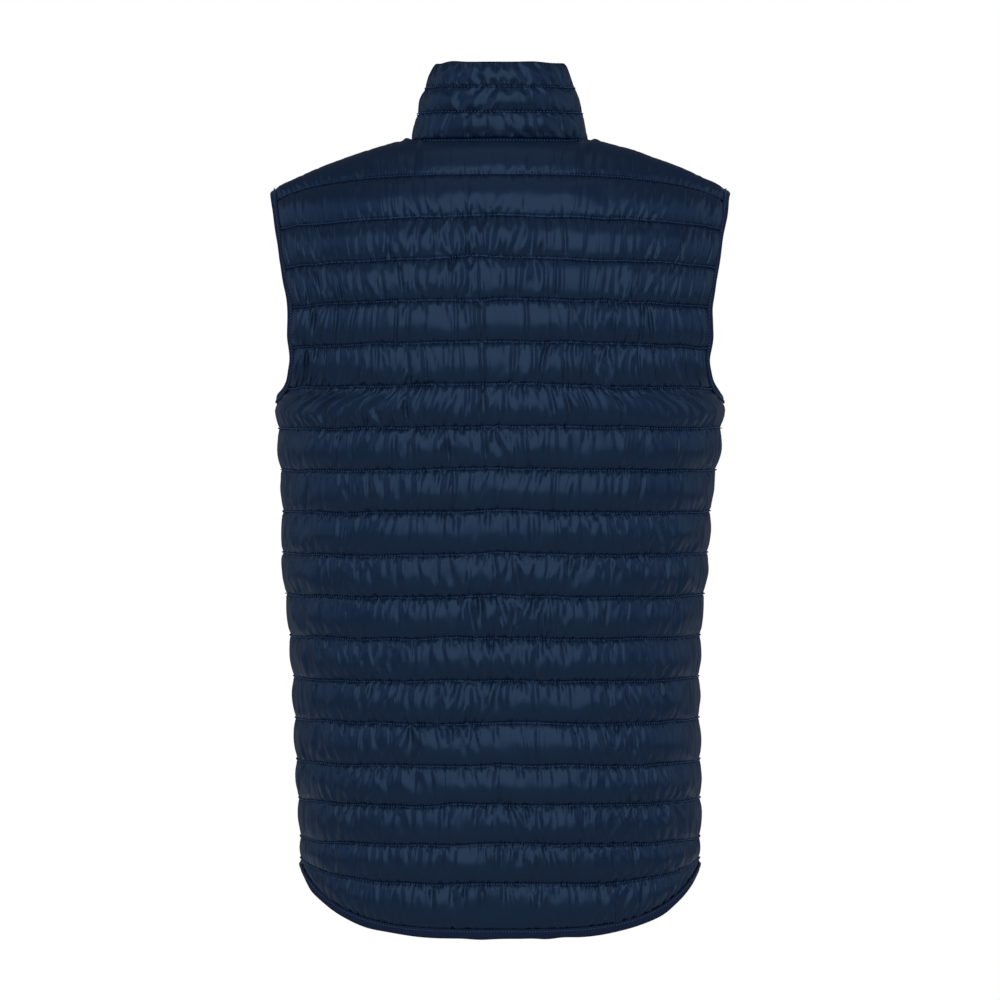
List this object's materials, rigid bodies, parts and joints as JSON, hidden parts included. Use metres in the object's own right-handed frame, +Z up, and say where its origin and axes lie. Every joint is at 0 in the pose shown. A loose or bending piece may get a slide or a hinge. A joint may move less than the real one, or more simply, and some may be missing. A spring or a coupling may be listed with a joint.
{
  "type": "quilted vest",
  "caption": "Sleeveless padded vest with horizontal quilting, stand collar, bound armholes, full front zip with swinging pull tab and dropped curved back hem, hollow as worn.",
  "frame": {"origin": "midway between the two neck points of the shoulders, where the wearer carries the vest", "axes": "+Z up; -Y the way the wearer faces, with the zip; +X the wearer's left"},
  "size_m": [0.4156, 0.2424, 0.7771],
  "materials": {
    "quilted_nylon": "satin downproof nylon, navy",
    "elastic_binding": "matt folded elastic, navy",
    "zip_tape": "matt woven tape, navy",
    "zip_teeth": "moulded, dark navy",
    "zip_metal": "satin enamel, dark navy"
  },
  "bodies": {
    "vest": {"back_panel": "quilted_nylon", "front_panel_left": "quilted_nylon", "front_panel_right": "quilted_nylon", "collar": "quilted_nylon", "armhole_binding_left": "elastic_binding", "armhole_binding_right": "elastic_binding", "hem_binding": "elastic_binding", "zip_tape_left": "zip_tape", "zip_tape_right": "zip_tape", "zip_chain": "zip_teeth", "zip_box": "zip_teeth", "zip_slider": "zip_metal"},
    "pull_tab": {"zip_pull": "zip_metal"}
  },
  "joints": [
    {"name": "pull_swing", "type": "hinge", "parent": "vest", "child": "pull_tab", "pos_m": [0, -0.08477, 0.00028], "axis": [-1, 0, 0], "range_deg": [0, 150]}
  ]
}
